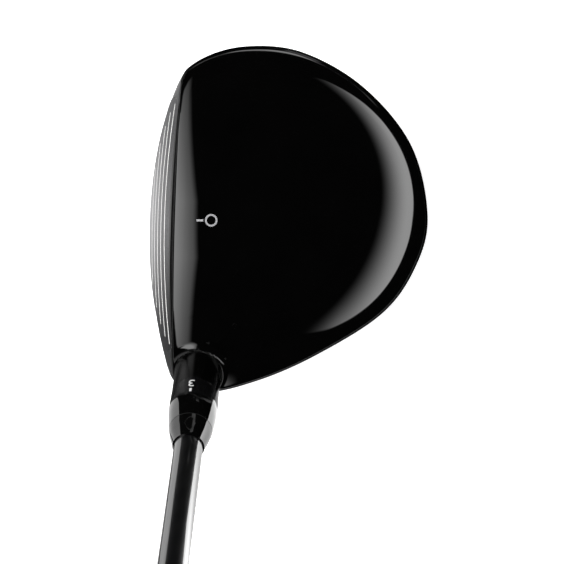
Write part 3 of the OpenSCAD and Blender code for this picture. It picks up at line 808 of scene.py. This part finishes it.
steel_and_paint, tree = new_material("ground_stainless_and_black_lacquer")
lines = grind(tree, 0.12, 6)
shade, peel, haze, spray = (add_node(tree, "ShaderNodeTexNoise", {
    "Vector": add_node(tree, "ShaderNodeTexCoord").outputs["Object"], "Scale": 1 / (size_mm * MM), "Detail": detail,
}).outputs["Fac"] for size_mm, detail in ((12, 2.0), (4, 0.0), (9, 2.0), (0.3, 3.0)))
across = add_node(tree, "ShaderNodeVectorMath", {0: from_hosel_foot(tree), 1: tuple(AXIS_WAY / MM)},
                  operation="CROSS_PRODUCT").outputs[0]
off_hosel = add_node(tree, "ShaderNodeVectorMath", {0: across}, operation="LENGTH").outputs["Value"]
on_hosel = add_node(tree, "ShaderNodeMapRange", {0: off_hosel, 1: PAINT_END_R + 1, 2: PAINT_END_R}).outputs[0]
over_edge = add_node(tree, "ShaderNodeMapRange", {0: off_face(tree), 1: -PAINT_EDGE - 0.04, 2: -PAINT_EDGE}).outputs[0]
bare = add_node(tree, "ShaderNodeMath", {0: over_edge, 1: under_topline(tree)}, operation="MULTIPLY").outputs[0]
paint, steel = (add_node(tree, "ShaderNodeMix", {0: pattern, 6: colour(dark), 7: colour(light)},
                         data_type="RGBA").outputs[2]
                for pattern, dark, light in ((shade, *LACQUER), (lines, "a8a8aa", "bababc")))
polished, sprayed, ground = (add_node(tree, "ShaderNodeMapRange", {
    0: pattern, 1: 0.3, 2: 0.7, 3: low, 4: high}).outputs[0]
    for pattern, low, high in ((haze, *LACQUER_ROUGH), (spray, 0.17, 0.22), (lines, 0.27, 0.37)))
paint_rough = add_node(tree, "ShaderNodeMix", {0: on_hosel, 2: polished, 3: sprayed}, data_type="FLOAT").outputs[0]
height = add_node(tree, "ShaderNodeMix", {0: bare, 2: peel, 3: lines}, data_type="FLOAT").outputs[0]
surface(tree, add_node(tree, "ShaderNodeBsdfPrincipled", {
    "Base Color": add_node(tree, "ShaderNodeMix", {0: bare, 6: paint, 7: steel}, data_type="RGBA").outputs[2],
    "Metallic": bare,
    "Roughness": add_node(tree, "ShaderNodeMix", {0: bare, 2: paint_rough, 3: ground}, data_type="FLOAT").outputs[0],
    "Normal": add_node(tree, "ShaderNodeBump", {"Height": height, "Distance": PEEL_DEEP * MM}).outputs["Normal"],
}))
dress(body, steel_and_paint)

# Face insert: forged high-strength steel, pressed into the pocket and laser-welded round its
# edge, then ground with the frame. Its score lines are filled with pale paint.
LINE_DEEP = (0.02, 0.06)
GRIND_DEEP = 0.0012
insert_steel, tree = new_material("ground_forged_steel_with_filled_lines")
filled = add_node(tree, "ShaderNodeMapRange", {0: off_face(tree), 1: -LINE_DEEP[0], 2: -LINE_DEEP[1]}).outputs[0]
lines, fine = grind(tree, 0.16, 9), grind(tree, 0.05, 3)
steel = add_node(tree, "ShaderNodeMix", {0: lines, 6: colour("949497"), 7: colour("a9a9ac")},
                 data_type="RGBA").outputs[2]
ground = add_node(tree, "ShaderNodeMapRange", {0: fine, 1: 0.3, 2: 0.7, 3: 0.26, 4: 0.36}).outputs[0]
surface(tree, add_node(tree, "ShaderNodeBsdfPrincipled", {
    "Base Color": add_node(tree, "ShaderNodeMix", {0: filled, 6: steel, 7: colour("f2f2f0")},
                           data_type="RGBA").outputs[2],
    "Metallic": add_node(tree, "ShaderNodeMath", {0: 1.0, 1: filled}, operation="SUBTRACT").outputs[0],
    "Roughness": add_node(tree, "ShaderNodeMix", {0: filled, 2: ground, 3: 0.55}, data_type="FLOAT").outputs[0],
    "Normal": add_node(tree, "ShaderNodeBump", {"Height": fine, "Distance": GRIND_DEEP * MM}).outputs["Normal"],
}))
dress(nodes["face_insert"], insert_steel)

# Slot filler: a strip of elastomer moulded into the flex slot behind the leading edge, which
# keeps grass and sand out. Moulded rubber is matt, with a faint skin texture.
SKIN = (0.5, 4.0)
elastomer, tree = new_material("moulded_elastomer")
finish(tree, (3, 2.0), "2a2a2b", "363637", rough=(SKIN, 0.62, 0.78), relief=(SKIN, 0.03))
dress(nodes["sole_slot_filler"], elastomer)

# Sole weight: a turned stainless screw with a six-lobe socket, on a thin nylon washer that
# stops it from working loose. The sheet it is punched from is dark and half matt.
RING_DEEP = 0.004


def in_frame(tree, frame_matrix):
    """Place within a frame given in millimetres."""
    return add_node(tree, "ShaderNodeMapping", {
        "Vector": add_node(tree, "ShaderNodeTexCoord").outputs["Object"],
        "Location": tuple(frame_matrix.translation * MM), "Rotation": tuple(frame_matrix.to_euler()),
    }, vector_type="TEXTURE").outputs[0]


def lathe_rings(tree, frame_matrix, pitch_mm):
    """Fine rings about a frame's axis, as a lathe tool leaves them."""
    local = in_frame(tree, frame_matrix)
    flat = add_node(tree, "ShaderNodeVectorMath", {0: local, 1: (1, 1, 0)}, operation="MULTIPLY").outputs[0]
    radius = add_node(tree, "ShaderNodeVectorMath", {0: flat}, operation="LENGTH").outputs["Value"]
    wave = add_node(tree, "ShaderNodeMath", {0: radius, 1: 2 * math.pi / (pitch_mm * MM)}, operation="MULTIPLY")
    sine = add_node(tree, "ShaderNodeMath", {0: wave.outputs[0]}, operation="SINE").outputs[0]
    return add_node(tree, "ShaderNodeMapRange", {0: sine, 1: -1.0, 2: 1.0}).outputs[0]


def turned_metal(name, frame_matrix, dark, light, pitch_mm, rough):
    """A lathe-turned metal: bright, with rings that catch the light in a fan."""
    material, tree = new_material(name)
    finish(tree, (1.5, 2.0), dark, light, rough=((0.8, 2.0), rough - 0.04, rough + 0.06),
           relief=(lathe_rings(tree, frame_matrix, pitch_mm), RING_DEEP), sockets={"Metallic": 1.0})
    return material


dress(nodes["weight_screw"], turned_metal("turned_stainless_weight", PORT_FRAME, "a4a5a6", "b6b7b8", 0.35, 0.24))
nylon, tree = new_material("punched_nylon_sheet")
finish(tree, (1, 2.0), "1c1c1c", "262626", rough=((0.3, 2.0), 0.42, 0.55), relief=((0.3, 2.0), 0.01))
dress(nodes["weight_washer"], nylon)

# Hosel screw: a zinc-plated steel screw, up through the heel of the sole, that clamps the sleeve.
# A turned washer sits under its head, and a nylon ring keeps the loosened screw in the head. The
# plating is a cooler grey than bare steel, and natural nylon is waxy white.
dress(nodes["hosel_screw"], turned_metal("zinc_plated_screw_steel", HOSEL_FRAME, "8f9296", "a3a6a9", 0.3, 0.3))
dress(nodes["screw_washer"], turned_metal("turned_steel_washer", HOSEL_FRAME, "9a9b9d", "abacae", 0.25, 0.3))
white_nylon, tree = new_material("turned_natural_nylon")
finish(tree, (1, 2.0), "d9d6c8", "e4e1d4", relief=(lathe_rings(tree, HOSEL_FRAME, 0.3), RING_DEEP), sockets={
    "Roughness": 0.4, "Subsurface Weight": 0.2, "Subsurface Radius": (0.001, 0.001, 0.0008)})
dress(nodes["screw_retainer"], white_nylon)

# Index ring: turned aluminium with tabs that lock in the hosel's notches, etched and anodised to a
# black satin. A laser bleaches a number and a tick to pale grey at each of its four settings.
RING_TOP = 57.6
RING_LOW_R = HOSEL_R + 0.05
COLLAR_R = 7.3
NUMBER_HIGH = 3.4
NUMBER_LOW = 50.6
TICK_LOW = 55.0
TICK_W = 0.7
TICK_HIGH = 1.6
MARK_T = 0.02
FIRST_SETTING = 0.07
ETCHING = (0.25, 3.0)
anodised, tree = new_material("black_anodised_aluminium")
finish(tree, ETCHING, "070708", "0c0c0d", rough=(ETCHING, 0.16, 0.22), relief=(ETCHING, 0.0004), sockets={"IOR": 1.6})
dress(nodes["hosel_ring"], anodised)
marking, tree = new_material("laser_marked_aluminium")
finish(tree, (0.2, 2.0), "c9c9c9", "e6e6e6", sockets={"Roughness": 0.5})


def ring_radius(along):
    """The ring's radius, which widens from the hosel's up to the sleeve's collar."""
    wider = min(1, max(0, (along - HOSEL_TOP) / (RING_TOP - 1 - HOSEL_TOP)))
    return RING_LOW_R + (COLLAR_R - RING_LOW_R) * wider


def wrapped(name, flat_mesh, turn, low):
    """A flat mesh in millimetres, wrapped on the ring: x runs round it and y along it."""
    cut = bmesh.new()
    cut.from_mesh(flat_mesh)
    xs = [v.co.x for v in cut.verts]
    for x in np.arange(min(xs) + 0.25, max(xs), 0.25):
        bmesh.ops.bisect_plane(cut, geom=[*cut.verts, *cut.edges, *cut.faces], plane_co=(x, 0, 0), plane_no=(1, 0, 0))
    for v in cut.verts:
        along = low + v.co.y
        r, a = ring_radius(along) + v.co.z, turn + v.co.x / ring_radius(along)
        v.co = HOSEL_FRAME @ Vector((r * math.cos(a), r * math.sin(a), along)) * MM
    mesh = bpy.data.meshes.new(name)
    cut.to_mesh(mesh)
    cut.free()
    piece = bpy.data.objects.new(name, mesh)
    bpy.context.scene.collection.objects.link(piece)
    dress(piece, marking)
    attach(piece, "ring")


def number_mesh(text):
    """A flat number, centred on its width, a little thick."""
    lettering = bpy.data.curves.new("number", "FONT")
    lettering.body = text
    lettering.size = NUMBER_HIGH / 0.7
    lettering.extrude = MARK_T
    lettering.resolution_u = 4
    lettering.align_x = "CENTER"
    shape = bpy.data.objects.new("number", lettering)
    bpy.context.scene.collection.objects.link(shape)
    mesh = bpy.data.meshes.new_from_object(shape.evaluated_get(bpy.context.evaluated_depsgraph_get()))
    bpy.data.objects.remove(shape)
    return mesh


def tick_mesh():
    cut = bmesh.new()
    bmesh.ops.create_cube(cut, size=1, matrix=(Matrix.Translation((0, TICK_HIGH / 2, 0))
                                               @ Matrix.Diagonal((TICK_W, TICK_HIGH, 2 * MARK_T, 1))))
    mesh = bpy.data.meshes.new("tick")
    cut.to_mesh(mesh)
    cut.free()
    return mesh


for setting in range(4):
    turn = math.pi + FIRST_SETTING + (setting - 2) * math.pi / 2
    wrapped(f"ring_number_{setting + 1}", number_mesh(str(setting + 1)), turn, NUMBER_LOW)
    wrapped(f"ring_tick_{setting + 1}", tick_mesh(), turn, TICK_LOW)

# Sleeve: turned aluminium, anodised and polished until it mirrors like black glass. It holds the
# shaft at a slight tilt and turns in the ring, whose numbers tell its setting.
COLLAR_TOP = 66.7
SLEEVE_LOW = 25
SLEEVE_TILT = 0.75
STEM_R = HOSEL_BORE_R - 0.05
SCREW_BORE_R = 2.55
SHAFT_LOW = 37
SCREW_BORE_TOP = SHAFT_LOW - 3
TIP_R = 4.3
FERRULE_LOW_R = 6.45
TURN_STEPS = 192
JOINT_HALF = 0.16
JOINT_ROUGH = 0.9
SHAFT_FRAME = (HOSEL_FRAME @ Matrix.Translation((0, 0, RING_TOP))
               @ Matrix.Rotation(math.radians(-SLEEVE_TILT), 4, "Y") @ Matrix.Translation((0, 0, -RING_TOP)))
sleeve = turned("turned_sleeve", [
    (0, SLEEVE_LOW), (STEM_R, SLEEVE_LOW), (STEM_R, RING_TOP), (COLLAR_R, RING_TOP), (COLLAR_R, RING_TOP + 0.8),
    (mix(COLLAR_R, FERRULE_LOW_R, 0.35), RING_TOP + 4.5), (FERRULE_LOW_R, COLLAR_TOP), (FERRULE_LOW_R, COLLAR_TOP + 1),
    (0, COLLAR_TOP + 1)], HOSEL_FRAME, TURN_STEPS)
machine(sleeve, [
    ("DIFFERENCE", turned("screw_bore", [
        (0, SLEEVE_LOW - 1), (SCREW_BORE_R, SLEEVE_LOW - 1), (SCREW_BORE_R, SCREW_BORE_TOP), (0, SCREW_BORE_TOP)],
        HOSEL_FRAME)),
    ("DIFFERENCE", turned("over_sleeve", [
        (0, COLLAR_TOP), (20, COLLAR_TOP), (20, COLLAR_TOP + 10), (0, COLLAR_TOP + 10)], SHAFT_FRAME)),
    ("DIFFERENCE", turned("shaft_bore", [
        (0, SHAFT_LOW), (TIP_R, SHAFT_LOW), (TIP_R, COLLAR_TOP + 1), (0, COLLAR_TOP + 1)], SHAFT_FRAME, TURN_STEPS)),
])


def polished_black(name, tint_mm, dark, light, haze_mm, high, ior):
    """A turned and polished black finish, dulled in a fine line where sleeve and ferrule meet."""
    material, tree = new_material(name)
    along = add_node(tree, "ShaderNodeVectorMath", {0: from_hosel_foot(tree), 1: tuple(AXIS_WAY / MM)},
                     operation="DOT_PRODUCT").outputs["Value"]
    on_joint = add_node(tree, "ShaderNodeMath", {0: along, 1: COLLAR_TOP, 2: JOINT_HALF},
                        operation="COMPARE").outputs[0]
    tint, haze = (add_node(tree, "ShaderNodeTexNoise", {
        "Vector": add_node(tree, "ShaderNodeTexCoord").outputs["Object"], "Scale": 1 / (size_mm * MM), "Detail": 2.0,
    }).outputs["Fac"] for size_mm in (tint_mm, haze_mm))
    polish = add_node(tree, "ShaderNodeMapRange", {0: haze, 1: 0.3, 2: 0.7, 3: 0.02, 4: high}).outputs[0]
    finish(tree, tint, dark, light, sockets={"IOR": ior, "Roughness": add_node(
        tree, "ShaderNodeMix", {0: on_joint, 2: polish, 3: JOINT_ROUGH}, data_type="FLOAT").outputs[0]})
    return material


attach(sleeve, "shaft")
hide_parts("sleeve")
dress(sleeve, polished_black("polished_black_anodising", 0.4, "030303", "060606", 2, 0.04, 1.6))

# Ferrule: a moulded cellulose cone that eases the sleeve into the shaft, turned flush with both
# and polished with solvent to a wet black shine.
FERRULE_TOP = 75
FERRULE_TOP_R = 4.75


def shaft_ring(angles, radius, s):
    """A ring of points round the shaft's axis; the radius may change round it."""
    return placed(np.column_stack([radius * np.cos(angles), radius * np.sin(angles), s + 0 * angles]), SHAFT_FRAME)


def tube(name, rings, crisp):
    """A closed tube from rings of points that run up its outside and down its bore."""
    count, last = len(rings[0]), len(rings)
    faces = []
    for j in range(last):
        low, high = j * count, (j + 1) % last * count
        faces += [(low + i, low + (i + 1) % count, high + (i + 1) % count, high + i) for i in range(count)]
    return mesh_piece(name, np.vstack(rings), faces, crisp)


turns = np.linspace(0, 2 * math.pi, TURN_STEPS, endpoint=False)
ferrule = tube("turned_ferrule", [shaft_ring(turns, r, s) for r, s in [
    (TIP_R, COLLAR_TOP), (FERRULE_LOW_R, COLLAR_TOP), (5.75, COLLAR_TOP + 4), (FERRULE_TOP_R + 0.1, FERRULE_TOP - 1.1),
    (FERRULE_TOP_R, FERRULE_TOP), (TIP_R, FERRULE_TOP)]], 30)
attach(ferrule, "shaft")
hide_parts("ferrule")
dress(ferrule, polished_black("polished_cellulose", 2, "040404", "070707", 1.5, 0.05, 1.48))

# Shaft: graphite tape rolled on a mandrel, ground, then painted dark grey under clear lacquer.
# Faint slanted bands show where the tape was wound, 5 mm apart.
TAPE_STEP = 5
graphite, tree = new_material("lacquered_graphite")
bands = add_node(tree, "ShaderNodeTexWave", {
    "Vector": in_frame(tree, SHAFT_FRAME), "Scale": 2 * math.pi / 20 / (TAPE_STEP * MM), "Distortion": 0.6,
    "Detail": 2.0, "Detail Scale": 1.5,
}, bands_direction="DIAGONAL").outputs["Fac"]
finish(tree, bands, "070708", "0b0b0c", sockets={
    "Roughness": 0.35, "Specular IOR Level": 0.2, "Coat Weight": 1.0, "Coat Roughness": 0.02, "Coat IOR": 1.5})
CLUB_LEN = 1080
SHAFT_TOP = CLUB_LEN - 3
TIP_LEN = 84
BUTT_R = 7.6
SHAFT_WALL = 1.3
shaft = tube("rolled_shaft", [shaft_ring(turns, r, s) for r, s in [
    (TIP_R - SHAFT_WALL, SHAFT_LOW), (TIP_R, SHAFT_LOW), (TIP_R, SHAFT_LOW + TIP_LEN), (BUTT_R, SHAFT_TOP),
    (BUTT_R - SHAFT_WALL, SHAFT_TOP), (TIP_R - SHAFT_WALL, SHAFT_LOW + TIP_LEN)]], 30)
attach(shaft, "shaft")
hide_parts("shaft")
dress(shaft, graphite)

# Inside the shaft's tip: a turned brass weight that balances the club, and over it a plug of dull,
# open-celled foam that keeps glue out of the shaft.
dress(nodes["tip_weight"], turned_metal("turned_brass", SHAFT_FRAME, "b08a3c", "c49c4a", 0.3, 0.22))
foam, tree = new_material("open_cell_foam")
# Painted shade: the foam darkens towards each cell's middle, as if its hollows lay in shade, and is palest at the cell
# walls, which the same pattern raises.
cell_depth_and_shade = add_node(tree, "ShaderNodeTexVoronoi", {
    "Vector": add_node(tree, "ShaderNodeTexCoord").outputs["Object"], "Scale": 1 / (0.6 * MM)}).outputs["Distance"]
finish(tree, cell_depth_and_shade, "8d7b5e", "cdbb98", relief=(cell_depth_and_shade, 0.25), sockets={"Roughness": 0.9})
dress(nodes["tip_plug"], foam)

# Grip tape: crepe masking paper, sticky on both sides, wound on the shaft under the grip. It is
# matt and cream, and its creases are longer round the shaft than along it.
crepe, tree = new_material("crepe_paper_tape")
stretched = add_node(tree, "ShaderNodeMapping", {
    "Vector": add_node(tree, "ShaderNodeTexCoord").outputs["Object"],
    "Scale": (1 / (2 * MM), 1 / (2 * MM), 1 / (0.5 * MM)),
}).outputs[0]
creases = add_node(tree, "ShaderNodeTexNoise", {"Vector": stretched, "Scale": 1.0, "Detail": 3.0}).outputs["Fac"]
finish(tree, creases, "c9bd9a", "e0d6b8", relief=(creases, 0.08), sockets={"Roughness": 0.8})
dress(nodes["grip_tape"], crepe)

# Grip: moulded rubber sleeve, slid on over the tape. Shallow grooves wind round it like a wrap,
# between a plain mouth and a plain end, and fine pores between them make it a soft matt black.
GRIP_LEN = 270
GRIP_LOW = CLUB_LEN - GRIP_LEN
WRAP_PITCH = 19
WRAP_DEPTH = 0.55
WRAP_HALF_W = 0.9
PORE_STEP = 1.1
GRIP_PROFILE = [(GRIP_LOW, 8.5), (GRIP_LOW + 1.5, 8.9), (GRIP_LOW + 30, 9.2), (GRIP_LOW + 150, 11.2),
                (SHAFT_TOP - 22, 12.7), (SHAFT_TOP - 5, 13.5), (SHAFT_TOP, 13.5)]


def shaft_radius(s):
    return mix(TIP_R, BUTT_R, (s - SHAFT_LOW - TIP_LEN) / (SHAFT_TOP - SHAFT_LOW - TIP_LEN))


around = np.linspace(0, 2 * math.pi, 96, endpoint=False)
stations = np.unique(np.concatenate([[s for s, _ in GRIP_PROFILE], np.arange(GRIP_LOW + 14, SHAFT_TOP - 26, 0.8)]))
grip_rows = [shaft_ring(around, shaft_radius(s), s) for s in (SHAFT_TOP, GRIP_LOW)]
for s in stations:
    r = np.interp(s, *zip(*GRIP_PROFILE))
    phase = (s / WRAP_PITCH - around / (2 * math.pi)) % 1
    groove = np.exp(-((phase - 0.5) * WRAP_PITCH / WRAP_HALF_W)**2)
    fade = min(1, max(0, (s - GRIP_LOW - 16) / 6), max(0, (SHAFT_TOP - 30 - s) / 6))
    grip_rows.append(shaft_ring(around, r - WRAP_DEPTH * fade * groove, s))
grip = tube("wrapped_grip", grip_rows, 40)
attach(grip, "shaft")
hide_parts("grip")
rubber, tree = new_material("moulded_grip_rubber")
pores = add_node(tree, "ShaderNodeTexVoronoi", {
    "Vector": add_node(tree, "ShaderNodeTexCoord").outputs["Object"], "Scale": 1 / (PORE_STEP * MM),
}).outputs["Distance"]
finish(tree, (6, 4.0), "1d1d1e", "272728", rough=(pores, 0.68, 0.85), relief=(pores, 0.12))
dress(grip, rubber)
dress(nodes["grip_cap"], rubber)

# Damping glue: a drop of hot melt poured in through the port before it is closed. It sets to a
# waxy cream lens on the inside of the sole.
FLOW = (5, 3.0)
hot_melt, tree = new_material("hot_melt_glue")
finish(tree, FLOW, "cfc193", "e2d7b0", rough=(FLOW, 0.3, 0.42), relief=(FLOW, 0.05), sockets={
    "Subsurface Weight": 0.4, "Subsurface Radius": (0.003, 0.002, 0.001)})
dress(nodes["hot_melt"], hot_melt)
